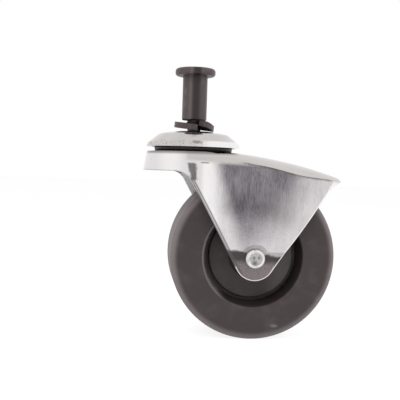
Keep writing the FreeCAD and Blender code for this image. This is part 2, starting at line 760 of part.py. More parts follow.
def make_horn():
    """Pressed fork: flat bearing seat, flared skirt, arched hood and two leaning legs."""
    outside = horn_form("horn_outside", "0")
    seat = new_sketch(outside, "seat_profile", "XZ_Plane")
    draw_polygon(seat, [
        ("0", HEAD_TOP),
        ("seat_radius", HEAD_TOP),
        ("seat_radius + seat_draft", f"{HEAD_TOP} - seat_rise"),
        ("0", f"{HEAD_TOP} - seat_rise"),
    ])
    revolve(outside, seat, "V_Axis")
    groove_ring(outside, "horn_upper_groove", "ball_radius", BALL_PITCH, BALL_LEVEL)
    inside = horn_form("horn_inside", "horn_gauge")
    side = new_body("horn_side")
    draw_side(new_sketch(side, "side_outline", "XZ_Plane"))
    pad(side, side.Group[0], "4 * skirt_radius", symmetric=True)
    shell = combine("Cut", "horn_shell", outside, inside)
    fork = combine("Common", "horn_fork", shell, side)
    hole = disc("pin_hole", ("0", "0"), "pin_radius + pin_clear", SKIRT_LOW, "0")
    fork = combine("Cut", "horn_pierced", fork, hole)
    track = ball_track("horn_lower_groove", "low_ball_radius", "low_ball_pitch", LOW_BALL_LEVEL)
    fork = combine("Cut", "horn_grooved", fork, track)
    near_coin = cross_disc("near_coin", "coin_radius", f"-{FLANK_REACH}", f"-{LEG_HALF}")
    fork = combine("Cut", "horn_near_coined", fork, near_coin)
    far_coin = cross_disc("far_coin", "coin_radius", LEG_HALF, FLANK_REACH)
    fork = combine("Cut", "horn_far_coined", fork, far_coin)
    axle = cross_disc("axle_hole", "axle_radius", f"-{FLANK_REACH}", FLANK_REACH)
    return combine("Cut", "horn", fork, axle)


def make_rivet():
    """Axle rivet: plain shank through both legs with a domed head on each end."""
    body = new_body("axle_rivet", ("trail", "0", f"-{AXLE_DROP}"))
    sketch = new_sketch(body, "rivet_profile", "YZ_Plane")
    draw_polygon(sketch, [
        (f"-{RIVET_END}", "0"),
        (RIVET_END, "0"),
        (RIVET_END, "rivet_radius"),
        (LEG_HALF, "rivet_radius"),
        (LEG_HALF, "axle_radius"),
        (f"-{LEG_HALF}", "axle_radius"),
        (f"-{LEG_HALF}", "rivet_radius"),
        (f"-{RIVET_END}", "rivet_radius"),
    ])
    revolve(body, sketch, "H_Axis")
    round_rings(body, "rivet_domes", "rivet_round",
                [("rivet_radius", RIVET_END), ("rivet_radius", f"-{RIVET_END}")], axis="y")
    return body


def axle_ring(label, start, end, inner, outer):
    """Plain ring on the axle line between two distances from the middle."""
    return turned(label, [(start, inner), (end, inner), (end, outer), (start, outer)],
                  axis="H_Axis", plane="YZ_Plane", place=("trail", "0", f"-{AXLE_DROP}"))


def make_axle_parts():
    """Spacer tube, hub bush and the two thrust washers between hub and legs."""
    axle_ring("axle_tube", f"-{LEG_INNER}", LEG_INNER, "axle_radius", TUBE_RADIUS)
    axle_ring("hub_bush", f"-{HUB_HALF}", HUB_HALF, BUSH_BORE, HUB_BORE)
    inner_end = f"({LEG_INNER} - thrust_thick)"
    axle_ring("thrust_washer_near", f"-{LEG_INNER}", f"-{inner_end}", TUBE_RADIUS, "thrust_radius")
    axle_ring("thrust_washer_far", inner_end, LEG_INNER, TUBE_RADIUS, "thrust_radius")


def make_wheel():
    """Moulded wheel: flat tread, broad side faces, deep recess, grooved disc and long hub."""
    half = "wheel_width / 2"
    recess_foot = "(recess_radius - recess_draft)"
    disc_edge = f"({recess_foot} - groove_width)"
    right = [
        (HUB_HALF, HUB_BORE),
        (HUB_HALF, "hub_radius"),
        ("disc_level", "hub_radius + hub_draft"),
        ("disc_level", disc_edge),
        ("groove_level", disc_edge),
        ("groove_level", recess_foot),
        (half, "recess_radius"),
        (half, "wheel_radius"),
    ]
    corners = right + [(f"-({x})", y) for x, y in reversed(right)]
    body = turned("wheel", corners, axis="H_Axis", plane="YZ_Plane", place=("trail", "0", f"-{AXLE_DROP}"))
    sides = ("", "-")
    round_rings(body, "tread_edges", "tread_round",
                [("wheel_radius", f"{sign}({half})") for sign in sides], axis="y")
    round_rings(body, "recess_edges", "face_round",
                [("recess_radius", f"{sign}({half})") for sign in sides], axis="y")
    round_rings(body, "disc_edges", "disc_round",
                [(disc_edge, f"{sign}disc_level") for sign in sides], axis="y")
    return body


def main():
    """Build every piece of the castor."""
    make_stud()
    make_barrel_nut()
    make_lock_washer()
    make_cap()
    make_upper_race()
    make_lower_race()
    make_balls("upper_balls", "ball_radius", BALL_PITCH, BALL_LEVEL)
    make_balls("lower_balls", "low_ball_radius", "low_ball_pitch", LOW_BALL_LEVEL)
    make_horn()
    make_rivet()
    make_axle_parts()
    make_wheel()


NODES = [
    "stud", "barrel_nut", "lock_washer", "dome_cap", "upper_race", "lower_race", "upper_balls",
    "lower_balls", "horn", "axle_rivet", "axle_tube", "thrust_washer_near", "thrust_washer_far",
    "hub_bush", "wheel",
]


def check_and_write():
    """Stop on any failed object or unsound shape, then write each piece's file."""
    DOC.recompute()
    for item in DOC.Objects:
        if "Invalid" in item.State or "Error" in item.State:
            raise RuntimeError(f"{item.Name} did not build: {item.State}")
        if item.isDerivedFrom("Sketcher::SketchObject") and not item.FullyConstrained:
            raise RuntimeError(f"{item.Name} is not fully constrained")
    os.makedirs("parts", exist_ok=True)
    for name in NODES:
        shape = DOC.getObject(name).Shape
        if shape.isNull() or not shape.isValid():
            raise RuntimeError(f"{name} is not a sound solid")
        shape.exportStep(f"parts/{name}.step")
        box = shape.optimalBoundingBox()
        print(f"{name}: {len(shape.Solids)} solids, {shape.Volume:.1f} mm3, "
              f"x {box.XMin:.2f}..{box.XMax:.2f} y {box.YMin:.2f}..{box.YMax:.2f} z {box.ZMin:.2f}..{box.ZMax:.2f}")


main()
check_and_write()
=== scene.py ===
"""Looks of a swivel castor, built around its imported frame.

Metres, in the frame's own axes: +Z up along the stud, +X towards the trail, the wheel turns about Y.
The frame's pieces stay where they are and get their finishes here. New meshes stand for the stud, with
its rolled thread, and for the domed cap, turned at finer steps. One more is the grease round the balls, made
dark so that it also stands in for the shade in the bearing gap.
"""
import logging
import math
from dataclasses import dataclass
from enum import Enum
from typing import Any, Optional, Sequence, Union

import bmesh
import bpy
from mathutils import Matrix, Vector


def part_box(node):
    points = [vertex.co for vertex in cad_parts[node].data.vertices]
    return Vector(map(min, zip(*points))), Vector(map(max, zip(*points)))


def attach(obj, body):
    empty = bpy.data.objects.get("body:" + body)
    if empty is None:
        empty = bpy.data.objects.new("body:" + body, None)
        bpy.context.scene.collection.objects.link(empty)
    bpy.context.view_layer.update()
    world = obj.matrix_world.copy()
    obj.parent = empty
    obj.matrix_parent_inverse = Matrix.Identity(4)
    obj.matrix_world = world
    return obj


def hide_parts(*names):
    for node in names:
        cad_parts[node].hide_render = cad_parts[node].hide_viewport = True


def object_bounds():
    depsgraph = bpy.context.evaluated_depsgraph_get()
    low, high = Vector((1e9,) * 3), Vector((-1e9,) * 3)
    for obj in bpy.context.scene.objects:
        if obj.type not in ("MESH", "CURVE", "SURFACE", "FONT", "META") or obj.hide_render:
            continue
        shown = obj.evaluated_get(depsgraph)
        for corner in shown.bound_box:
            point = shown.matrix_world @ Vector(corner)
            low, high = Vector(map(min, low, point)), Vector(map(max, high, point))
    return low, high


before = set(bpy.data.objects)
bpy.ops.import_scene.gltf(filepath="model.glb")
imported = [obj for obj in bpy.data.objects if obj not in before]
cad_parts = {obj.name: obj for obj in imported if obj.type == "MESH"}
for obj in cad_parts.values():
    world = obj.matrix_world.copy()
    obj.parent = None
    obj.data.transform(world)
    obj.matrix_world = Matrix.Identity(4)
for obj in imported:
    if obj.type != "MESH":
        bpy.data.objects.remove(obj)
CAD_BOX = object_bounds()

LOG = logging.getLogger("castor")
MM = 0.001
MERGE = 1e-7
BEVEL_SAMPLES = 6
SHIFT_Y = 0.7

Colour = tuple[float, float, float]
Place = tuple[float, float, float]
Point = tuple[float, float]
Span = tuple[float, float]
Number = Union[float, "Value"]
Socket = bpy.types.NodeSocket
Material = bpy.types.Material

# Weights of the axes for a distance from a line along Y or along Z.
ROUND_Y = (1.0, 0.0, 1.0)
ROUND_Z = (1.0, 1.0, 0.0)
WHITE = (1.0, 1.0, 1.0)


class Body(Enum):
    """Rigid bodies of the castor."""

    STEM = "stem"
    BALLS = "bearing_balls"
    FORK = "fork"
    WHEEL = "wheel"


class Value:
    """One number in a material: operators on it add Math nodes."""

    def __init__(self, graph: "Graph", socket: Socket) -> None:
        """Hold a socket of a material's graph."""
        self.graph = graph
        self.socket = socket

    def _math(self, operation: str, first: Number, second: Number = 0.0) -> "Value":
        """Add a Math node and return what comes out of it."""
        node = self.graph.node("ShaderNodeMath", {"operation": operation}, {0: first, 1: second})
        return Value(self.graph, node.outputs[0])

    def __add__(self, other: Number) -> "Value":
        """Sum."""
        return self._math("ADD", self, other)

    def __radd__(self, other: Number) -> "Value":
        """Sum with a plain number first."""
        return self._math("ADD", other, self)

    def __sub__(self, other: Number) -> "Value":
        """Difference."""
        return self._math("SUBTRACT", self, other)

    def __rsub__(self, other: Number) -> "Value":
        """Difference with a plain number first."""
        return self._math("SUBTRACT", other, self)

    def __mul__(self, other: Number) -> "Value":
        """Product."""
        return self._math("MULTIPLY", self, other)

    def __rmul__(self, other: Number) -> "Value":
        """Product with a plain number first."""
        return self._math("MULTIPLY", other, self)

    def __abs__(self) -> "Value":
        """Size without its sign."""
        return self._math("ABSOLUTE", self)

    def clamp(self) -> "Value":
        """Keep between 0 and 1."""
        return self._math("MINIMUM", self._math("MAXIMUM", self, 0.0), 1.0)

    def step(self, low: float, high: float) -> "Value":
        """Rise smoothly from 0 at one level to 1 at another."""
        levels = {"Value": self, "From Min": low, "From Max": high}
        return Value(self.graph, self.graph.node(
            "ShaderNodeMapRange", {"interpolation_type": "SMOOTHSTEP"}, levels).outputs[0])

    def fall(self, low: float, high: float) -> "Value":
        """Fall smoothly from 1 at one level to 0 at another."""
        return 1.0 - self.step(low, high)

    def near(self, level: float, full: float, end: float) -> "Value":
        """Mask that is full within one distance of a level and ends at another."""
        return abs(self - level).fall(full, end)


class Graph:
    """Node tree of one material, in millimetres of the frame."""

    def __init__(self, name: str) -> None:
        """Start an empty material.

        Args:
            name: Name of the material.
        """
        self.material = bpy.data.materials.new(name)
        self.material.use_nodes = True
        self.tree = self.material.node_tree
        self.tree.nodes.clear()
        self.coords = self.node("ShaderNodeTexCoord")

    def node(self, kind: str, settings: Optional[dict[str, Any]] = None,
             inputs: Optional[dict[Any, Any]] = None) -> bpy.types.Node:
        """Add one node.

        Args:
            kind: Type of the node.
            settings: Its properties, set before its sockets.
            inputs: Values or links of its sockets, by name or by number.

        Returns:
            The node.
        """
        made = self.tree.nodes.new(kind)
        for name, setting in (settings or {}).items():
            setattr(made, name, setting)
        for name, given in (inputs or {}).items():
            socket = made.inputs[name]
            if isinstance(given, Value):
                self.tree.links.new(given.socket, socket)
            elif isinstance(given, Socket):
                self.tree.links.new(given, socket)
            else:
                socket.default_value = given
        return made

    def place(self, centre: Sequence[float] = (0.0, 0.0, 0.0),
              scale: Sequence[float] = (1.0, 1.0, 1.0)) -> Socket:
        """Give a point's place in millimetres, seen from a centre and stretched.

        Args:
            centre: Point that becomes the origin, in millimetres.
            scale: How many pattern units a millimetre holds along each axis.

        Returns:
            The place as a vector socket.
        """
        shift = [-c * s for c, s in zip(centre, scale)]
        inputs = {"Vector": self.coords.outputs["Object"], "Location": shift, "Scale": [s / MM for s in scale]}
        return self.node("ShaderNodeMapping", {"vector_type": "POINT"}, inputs).outputs[0]

    def axes(self, vector: Socket) -> list[Value]:
        """Split a vector into its three numbers."""
        split = self.node("ShaderNodeSeparateXYZ", None, {0: vector})
        return [Value(self, socket) for socket in split.outputs]

    def normal(self) -> list[Value]:
        """Give the surface's own direction as three numbers."""
        return self.axes(self.coords.outputs["Normal"])

    def radius(self, centre: Sequence[float], across: Sequence[float]) -> Value:
        """Distance from an axis line, in millimetres.

        Args:
            centre: A point of the line, in millimetres.
            across: Weight of each axis, 0 for the one along the line.

        Returns:
            The distance.
        """
        place = self.place(centre)
        flat = self.node("ShaderNodeVectorMath", {"operation": "MULTIPLY"}, {0: place, 1: across})
        length = self.node("ShaderNodeVectorMath", {"operation": "LENGTH"}, {0: flat.outputs[0]})
        return Value(self, length.outputs["Value"])

    def noise(self, scale: Sequence[float], detail: float = 3.0, rough: float = 0.55,
              shift: float = 0.0) -> Value:
        """Soft random pattern from 0 to 1.

        Args:
            scale: How many blotches a millimetre holds along each axis.
            detail: Number of finer layers.
            rough: Weight of the finer layers.
            shift: Offset that tells one pattern from another.

        Returns:
            The pattern.
        """
        place = self.place((shift, shift * SHIFT_Y, -shift), scale)
        inputs = {"Vector": place, "Scale": 1.0, "Detail": detail, "Roughness": rough}
        return Value(self, self.node("ShaderNodeTexNoise", None, inputs).outputs[0])

    def line_noise(self, along: Value, scale: float) -> Value:
        """Random pattern that changes only with one number."""
        inputs = {"W": along * scale, "Scale": 1.0, "Detail": 2.0}
        return Value(self, self.node("ShaderNodeTexNoise", {"noise_dimensions": "1D"}, inputs).outputs[0])

    def blend(self, mask: Number, first: Any, second: Any) -> Socket:
        """Mix two colours by a mask."""
        first, second = (rgba(c) if isinstance(c, tuple) else c for c in (first, second))
        return self.node("ShaderNodeMix", {"data_type": "RGBA"}, {0: mask, 6: first, 7: second}).outputs[2]

    def bump(self, height: Value, depth: float, under: Optional[Socket] = None) -> Socket:
        """Turn a height into surface relief.

        Args:
            height: Pattern from 0 to 1.
            depth: Height of a full step, in millimetres.
            under: Relief that this one lies on.

        Returns:
            The direction of the relieved surface.
        """
        inputs: dict[str, Any] = {"Height": height, "Distance": depth * MM, "Strength": 1.0}
        if under is not None:
            inputs["Normal"] = under
        return self.node("ShaderNodeBump", None, inputs).outputs[0]

    def soft_edges(self, radius: float) -> Socket:
        """Shade sharp edges as if they were rounded by a radius in millimetres."""
        return self.node("ShaderNodeBevel", {"samples": BEVEL_SAMPLES}, {"Radius": radius * MM}).outputs[0]

    def edges(self, radius: float) -> Value:
        """Mask that rises from 0 near sharp edges.

        Args:
            radius: How far from an edge it starts, in millimetres.

        Returns:
            The mask.
        """
        plain = self.node("ShaderNodeNewGeometry").outputs["Normal"]
        inputs = {0: self.soft_edges(radius), 1: plain}
        turned = self.node("ShaderNodeVectorMath", {"operation": "DOT_PRODUCT"}, inputs)
        return 1.0 - Value(self, turned.outputs["Value"])

    def finish(self, **sockets: Any) -> Material:
        """Close the material with one surface shader.

        Args:
            sockets: Values or links of the shader, by name, with underscores for spaces.

        Returns:
            The material.
        """
        inputs = {name.replace("_", " "): given for name, given in sockets.items()}
        surface = self.node("ShaderNodeBsdfPrincipled", None, inputs)
        self.node("ShaderNodeOutputMaterial", None, {"Surface": surface.outputs[0]})
        return self.material


def rgba(colour: Colour) -> tuple[float, float, float, float]:
    """Give a colour its full cover."""
    return (*colour, 1.0)


@dataclass(frozen=True)
class PlateMap:
    """Places, masks and patterns that the layers of the fork's plating share."""

    graph: Graph
    x: Value
    z: Value
    down: Value
    flank: Value
    foot: Value
    rise: Value
    crown: Value
    outward: Value
    streaks: Value
    wisps: Value
    cloud: Value
    grain: Value
    edge: Value


@dataclass(frozen=True)
class PressedPlate:
    """Bright plating on pressed steel: polished on its hood and skirt, brushed along its flanks.

    Millimetres of the frame. Levels along the height count down from the cap's top, except foot_level, which is
    a Z. A span holds a mask's two levels. A cover says how much of a colour is laid.
    """

    # The plating's ground, also laid as painted highlight bands on the flanks' fronts, the legs' rear edges and
    # round their tips.
    bright: Colour = (0.90, 0.885, 0.88)
    # Tone of the up-facing hood, a painted reflection; top_shade gives its faint lines.
    top: Colour = (0.61, 0.58, 0.56)
    top_shade: Colour = (0.42, 0.395, 0.38)
    # Brushed tone of the flanks, also painted on the skirt round its lighter band.
    brushed: Colour = (0.70, 0.67, 0.68)
    # Colour of the painted dark reflection in the flanks' middle.
    dull: Colour = (0.125, 0.112, 0.13)
    # Colours of the painted dark reflections on the legs' tips and just under their bend.
    tip: Colour = (0.19, 0.155, 0.155)
    bend_reflection: Colour = (0.065, 0.052, 0.053)
    # Painted near white for the inner faces, standing in for light.
    inner: Colour = (0.97, 0.96, 0.95)
    # Colour of the painted dark reflection along the legs' front edges.
    dark_edge_reflection: Colour = (0.13, 0.115, 0.12)
    # Colour of the dirt specks, and of the painted reflections and shade on the skirt, brim, crease and cap
    # seat.
    dirt_and_painted_shade: Colour = (0.11, 0.10, 0.105)

    flank_span: Span = (0.62, 0.9)
    side_span: Span = (0.25, 0.5)
    outer_span: Span = (-1.0, 1.0)

    hood_span: Span = (0.3, 0.85)
    hood_start: Span = (-6.0, -3.0)
    hood_end: Span = (10.7, 12.7)
    hood_slope: float = 0.03
    line_span: Span = (0.35, 0.75)
    line_cover: float = 0.22

    skirt_end: float = 1.0
    skirt_fade: float = 2.0
    shade_at: float = -9.5
    shade_span: Span = (1.0, 6.0)
    shade_depth: float = 0.6
    shade_least: float = 0.25
    mark_from: float = 14.0
    mark_lean: float = 0.16
    mark_wisps: float = 2.2
    mark_waver: float = 1.8
    mark_at: Point = (-1.8, 15.4)
    mark_width: Span = (0.95, 1.75)
    mark_height: Span = (2.7, 3.6)
    mark_cover: float = 0.75
    mark_wisp_cover: float = 0.25
    dash_at: Point = (2.8, 12.1)
    dash_width: Span = (1.2, 1.7)
    dash_height: Span = (0.12, 0.32)
    dash_cover: float = 0.7
    speck_span: Span = (0.66, 0.74)
    speck_fade: float = 0.6
    speck_cover: float = 0.35

    brush_start: Span = (6.0, 10.5)
    dull_from: float = 20.0
    dull_lean: float = 0.3
    dull_front: Span = (6.6, 13.0)
    dull_rear_lean: float = 0.55
    dull_rear: Span = (40.0, 59.0)
    dull_low: Span = (27.0, 47.0)
    dull_fade: float = 0.6
    dull_cover: float = 0.8
    cloud_span: Span = (0.32, 0.66)
    cloud_cover: float = 0.12
    wisp_cover: float = 0.28
    streak_cover: float = 0.75
    streak_start: Span = (3.0, 9.0)

    foot_level: float = -45.0
    foot_from: float = 18.0
    foot_slope: float = 0.12
    foot_waver: float = 1.6
    foot_span: Span = (-0.5, 0.6)
    foot_cover: float = 0.7
    foot_grain: Span = (0.35, 0.65)
    foot_grain_cover: float = 0.3
    bend_reflection_slope: float = 0.03
    bend_reflection_span: Span = (47.4, 50.2)
    bend_reflection_cover: float = 0.85

    crease_reach: float = 1.2
    brim_sharp: Span = (0.10, 0.28)
    brim_end: Span = (-1.0, 2.0)
    brim_top: Span = (14.0, 15.0)
    brim_cover: float = 0.8
    crease_sharp: Span = (0.001, 0.010)
    crease_top: Span = (11.2, 12.0)
    crease_foot: Span = (21.0, 24.0)
    crease_start: Span = (7.0, 10.0)
    crease_end: Span = (51.0, 53.0)
    crease_cover: float = 0.7
    crease_patches: Span = (0.4, 0.6)
    crease_patch_cover: float = 0.3
    seat_foot: Span = (8.4, 9.4)
    seat_end: Span = (14.0, 17.0)
    seat_cover: float = 0.7

    leg_normal: Point = (-0.873, -0.488)
    leg_line: float = 10.93
    rear_normal: Point = (0.829, -0.559)
    rear_line: float = 54.0
    edge_top: Span = (16.0, 19.0)
    front_band: Span = (0.9, 1.5)
    front_cover: float = 0.85
    glint_in: Span = (0.2, 0.5)
    glint_out: Span = (0.6, 0.9)
    glint_cover: float = 0.5
    rear_band: Span = (0.22, 0.42)
    tip_centre: Place = (23.3, 0.0, -48.3)
    tip_ring: Span = (7.28, 7.5)
    tip_top: Span = (50.0, 51.5)

    rough: float = 0.13
    flank_rough: float = 0.1
    streak_rough: float = 0.14
    foot_rough: float = 0.05
    cloud_rough: float = 0.05
    edge_round: float = 0.35
    streak_depth: float = 0.012
    grain_depth: float = 0.03

    def build(self) -> Material:
        """Make the material of the fork's pressing.

        Returns:
            The material.
        """
        graph = Graph("pressed_plate")
        plate = self.survey(graph)
        base = self.lay_hood(plate)
        for lay in (self.lay_skirt, self.lay_flank, self.lay_foot, self.lay_creases, self.lay_cut_edges):
            base = lay(plate, base)
        # Inner faces are painted near white and are not metal, so they show as brightly lit.
        base = graph.blend(1.0 - plate.outward, base, self.inner)
        brushing = plate.flank * (self.flank_rough + plate.streaks * self.streak_rough) * plate.outward
        rough = self.rough + brushing + plate.foot * self.foot_rough + plate.cloud * self.cloud_rough
        relief = graph.bump(plate.streaks * plate.flank, self.streak_depth, graph.soft_edges(self.edge_round))
        relief = graph.bump(plate.grain * plate.foot, self.grain_depth, relief)
        return graph.finish(Base_Color=base, Roughness=rough, Metallic=plate.outward, Normal=relief)

    def survey(self, graph: Graph) -> PlateMap:
        """Tell where a point lies on the pressing, and set up the patterns.

        Args:
            graph: Graph of the material.

        Returns:
            The map.
        """
        _, side, up = graph.normal()
        x, y, z = graph.axes(graph.place())
        down = z * -1.0
        edge = graph.noise((0.3, 0.3, 0.3), rough=0.6, shift=13.0)
        flank = abs(side).step(*self.flank_span)
        fold = self.foot_level - z - (x - self.foot_from) * self.foot_slope + (edge - 0.5) * self.foot_waver
        rise = x.step(*self.hood_start) * (down - x * self.hood_slope).fall(*self.hood_end)
        return PlateMap(
            graph=graph, x=x, z=z, down=down, flank=flank, rise=rise, edge=edge,
            foot=fold.step(*self.foot_span) * flank,
            crown=1.0 - up.fall(*self.hood_span) * (1.0 - rise),
            outward=1.0 - (y * side).fall(*self.outer_span) * abs(side).step(*self.side_span),
            streaks=graph.noise((4.5, 4.5, 0.3), detail=4.0, rough=0.65),
            wisps=graph.noise((0.5, 0.5, 0.06), rough=0.5, shift=11.0),
            cloud=graph.noise((0.11, 0.11, 0.09), detail=2.0, rough=0.5, shift=5.0),
            grain=graph.noise((2.6, 2.6, 2.6), rough=0.6, shift=3.0),
        )

    def lay_hood(self, plate: PlateMap) -> Socket:
        """Lay the hood's darker tone, a painted reflection on the faces that point up, with faint lines along
        it, over the bright ground.

        Args:
            plate: Map of the pressing.

        Returns:
            The colour.
        """
        lines = plate.graph.noise((0.02, 0.9, 0.9), detail=1.5, rough=0.5, shift=27.0).step(*self.line_span)
        top = plate.graph.blend(lines * self.line_cover, self.top, self.top_shade)
        # The up-facing hood gets a darker painted reflection tone.
        return plate.graph.blend(plate.crown, self.bright, top)

    def lay_skirt(self, plate: PlateMap, base: Socket) -> Socket:
        """Paint shade on the skirt with a lighter band in it, lay the dirt specks, and paint the skirt's dark
        mark and dash.

        Args:
            plate: Map of the pressing.
            base: Colour underneath.

        Returns:
            The colour.
        """
        graph, x, down = plate.graph, plate.x, plate.down
        # The skirt is painted darker, with a lighter band round shade_at; both are painted reflections on the
        # polished skirt.
        skirt = (x - self.skirt_end).fall(0.0, self.skirt_fade) * (1.0 - plate.crown)
        shade = x.near(self.shade_at, *self.shade_span) * self.shade_depth + self.shade_least
        base = graph.blend(skirt * (1.0 - shade), base, self.brushed)
        # The mark is a painted dark reflection and the dash a short painted shade line; the specks are real
        # dirt.
        leaning = x - (down - self.mark_from) * self.mark_lean
        wavering = leaning + (plate.wisps - 0.5) * self.mark_wisps + (plate.edge - 0.5) * self.mark_waver
        mark = wavering.near(self.mark_at[0], *self.mark_width) * down.near(self.mark_at[1], *self.mark_height)
        dash = x.near(self.dash_at[0], *self.dash_width) * down.near(self.dash_at[1], *self.dash_height)
        specks = graph.noise((1.3, 1.3, 1.3), detail=2.0, rough=0.5, shift=17.0).step(*self.speck_span)
        specks = specks * (1.0 - plate.flank * self.speck_fade)
        base = graph.blend(specks * self.speck_cover, base, self.dirt_and_painted_shade)
        mark = mark * (self.mark_cover + plate.wisps * self.mark_wisp_cover)
        return graph.blend(mark + dash * self.dash_cover, base, self.dirt_and_painted_shade)

    def lay_flank(self, plate: PlateMap, base: Socket) -> Socket:
        """Brush the flanks behind a painted highlight band at their front, and paint a dark reflection in their
        middle, streaked downwards.

        Args:
            plate: Map of the pressing.
            base: Colour underneath.

        Returns:
            The colour.
        """
        graph, x, down = plate.graph, plate.x, plate.down
        # From brush_start back the flanks take the brushed tone; their front keeps the bright ground as a
        # painted highlight band.
        base = graph.blend(x.step(*self.brush_start) * plate.flank * (1.0 - plate.crown), base, self.brushed)
        # front, rear and middle place a painted dark reflection in the flanks' middle; its clouds, wisps and
        # streaks are the brushed finish's own.
        front = (x - (down - self.dull_from) * self.dull_lean).step(*self.dull_front)
        rear = (x + down * self.dull_rear_lean).fall(*self.dull_rear)
        middle = front * rear * (1.0 - down.step(*self.dull_low) * self.dull_fade)
        patchy = plate.cloud.step(*self.cloud_span) * self.cloud_cover + (plate.wisps - 0.5) * self.wisp_cover
        patchy = patchy + (plate.streaks - 0.5) * self.streak_cover
        painted_reflection_and_streaks = middle * self.dull_cover + patchy * x.step(*self.streak_start)
        return graph.blend(painted_reflection_and_streaks.clamp() * plate.flank * (1.0 - plate.rise), base, self.dull)

    def lay_foot(self, plate: PlateMap, base: Socket) -> Socket:
        """Paint dark reflections on the legs' grainy tips and, darker, in the band just under the bend at their
        top.

        Args:
            plate: Map of the pressing.
            base: Colour underneath.

        Returns:
            The colour.
        """
        # The tips' dark tone is a painted reflection, mottled by grain; the band under the bend is a darker
        # painted reflection.
        tip_reflection = self.foot_cover + plate.grain.step(*self.foot_grain) * self.foot_grain_cover
        base = plate.graph.blend(plate.foot * tip_reflection, base, self.tip)
        bend_reflection = (plate.down - plate.x * self.bend_reflection_slope + plate.edge).fall(*self.bend_reflection_span)
        return plate.graph.blend(plate.foot * bend_reflection * self.bend_reflection_cover, base, self.bend_reflection)

    def lay_creases(self, plate: PlateMap, base: Socket) -> Socket:
        """Paint shade along the skirt's brim, in the crease between hood and flank, and on the seat under the
        cap.

        Args:
            plate: Map of the pressing.
            base: Colour underneath.

        Returns:
            The colour.
        """
        graph, x, down = plate.graph, plate.x, plate.down
        sharp = graph.edges(self.crease_reach)
        # The brim, crease and seat marks are painted shade.
        brim = sharp.step(*self.brim_sharp) * x.fall(*self.brim_end) * down.step(*self.brim_top)
        base = graph.blend(brim * self.brim_cover, base, self.dirt_and_painted_shade)
        crease = sharp.step(*self.crease_sharp) * down.step(*self.crease_top) * down.fall(*self.crease_foot)
        crease = crease * x.fall(*self.crease_end)
        seat = down.fall(*self.seat_foot) * x.fall(*self.seat_end) * self.seat_cover
        patchy = self.crease_cover + plate.edge.step(*self.crease_patches) * self.crease_patch_cover
        return graph.blend(crease * x.step(*self.crease_start) * patchy + seat, base, self.dirt_and_painted_shade)

    def lay_cut_edges(self, plate: PlateMap, base: Socket) -> Socket:
        """Paint a dark reflection band with a painted glint along the legs' front edges, and painted highlights
        along their rear edges and round their tips.

        Args:
            plate: Map of the pressing.
            base: Colour underneath.

        Returns:
            The colour.
        """
        graph, down, flank = plate.graph, plate.down, plate.flank
        front = self.inset(self.leg_normal, self.leg_line, plate.x, plate.z)
        rear = self.inset(self.rear_normal, self.rear_line, plate.x, plate.z)
        lower = down.step(*self.edge_top)
        # The dark front band is a painted reflection with a painted glint; the bright rear band and tip ring
        # are painted highlights.
        glint = self.glint_cover * front.step(*self.glint_in) * front.fall(*self.glint_out)
        dark = front.fall(*self.front_band) * (1.0 - glint)
        base = graph.blend(dark * lower * flank * self.front_cover, base, self.dark_edge_reflection)
        base = graph.blend(rear.fall(*self.rear_band) * lower * flank, base, self.bright)
        ring = graph.radius(self.tip_centre, ROUND_Y).step(*self.tip_ring)
        return graph.blend(ring * down.step(*self.tip_top) * flank, base, self.bright)

    @staticmethod
    def inset(normal: Point, line: float, x: Value, z: Value) -> Value:
        """Distance inside a straight edge of the side outline, in millimetres."""
        return line - (x * normal[0] + z * normal[1])


@dataclass(frozen=True)
class SpunPlate:
    """Bright plating on the spun cap: faint rings about its axis, with a painted highlight on one side of its
    rim, a painted dark reflection across its middle, and dirt specks, most on its rim.
    """

    bright: Colour = (0.61, 0.58, 0.57)
    dull: Colour = (0.54, 0.515, 0.50)
    # Colour of the painted highlight on one side of the rim.
    rim: Colour = (0.88, 0.86, 0.85)
    # Colour of the dirt specks and of the painted dark reflection across the rim.
    dirt_and_painted_shade: Colour = (0.24, 0.20, 0.18)
    cloud_span: Span = (0.35, 0.75)
    cloud_cover: float = 0.6
    rim_start: Span = (16.6, 17.4)
    rim_highlight_side: Span = (-2.0, 6.0)
    reflection_at: float = -0.2
    reflection_width: Span = (0.8, 2.2)
    reflection_end: Span = (17.95, 18.15)
    reflection_cover: float = 0.8
    speck_span: Span = (0.54, 0.74)
    speck_cover: float = 0.04
    speck_side: Span = (0.0, 6.0)
    speck_rim_cover: float = 0.7
    rough: float = 0.07
    ring_rough: float = 0.06
    cloud_rough: float = 0.03
    ring_scale: float = 2.4
    ring_depth: float = 0.006

    def build(self) -> Material:
        """Make the material of the domed cap.

        Returns:
            The material.
        """
        graph = Graph("spun_plate")
        radius = graph.radius((0.0, 0.0, 0.0), ROUND_Z)
        rings = graph.line_noise(radius, self.ring_scale)
        cloud = graph.noise((0.2, 0.2, 0.2))
        base = graph.blend(cloud.step(*self.cloud_span) * self.cloud_cover, self.bright, self.dull)
        across = graph.axes(graph.place())[0]
        # The rim's bright tone, on one side only, is a painted highlight.
        rim = radius.step(*self.rim_start)
        base = graph.blend(rim * across.step(*self.rim_highlight_side), base, self.rim)
        # A painted dark reflection lies across the rim's middle; the specks below are dirt.
        middle = across.near(self.reflection_at, *self.reflection_width) * rim * radius.fall(*self.reflection_end)
        base = graph.blend(middle * self.reflection_cover, base, self.dirt_and_painted_shade)
        specks = graph.noise((1.1, 1.1, 1.1), detail=2.0, rough=0.5, shift=21.0).step(*self.speck_span)
        cover = self.speck_cover + rim * across.fall(*self.speck_side) * self.speck_rim_cover
        base = graph.blend(specks * cover, base, self.dirt_and_painted_shade)
        rough = self.rough + rings * self.ring_rough + cloud * self.cloud_rough
        relief = graph.bump(rings, self.ring_depth)
        return graph.finish(Base_Color=base, Roughness=rough, Metallic=1.0, Normal=relief)


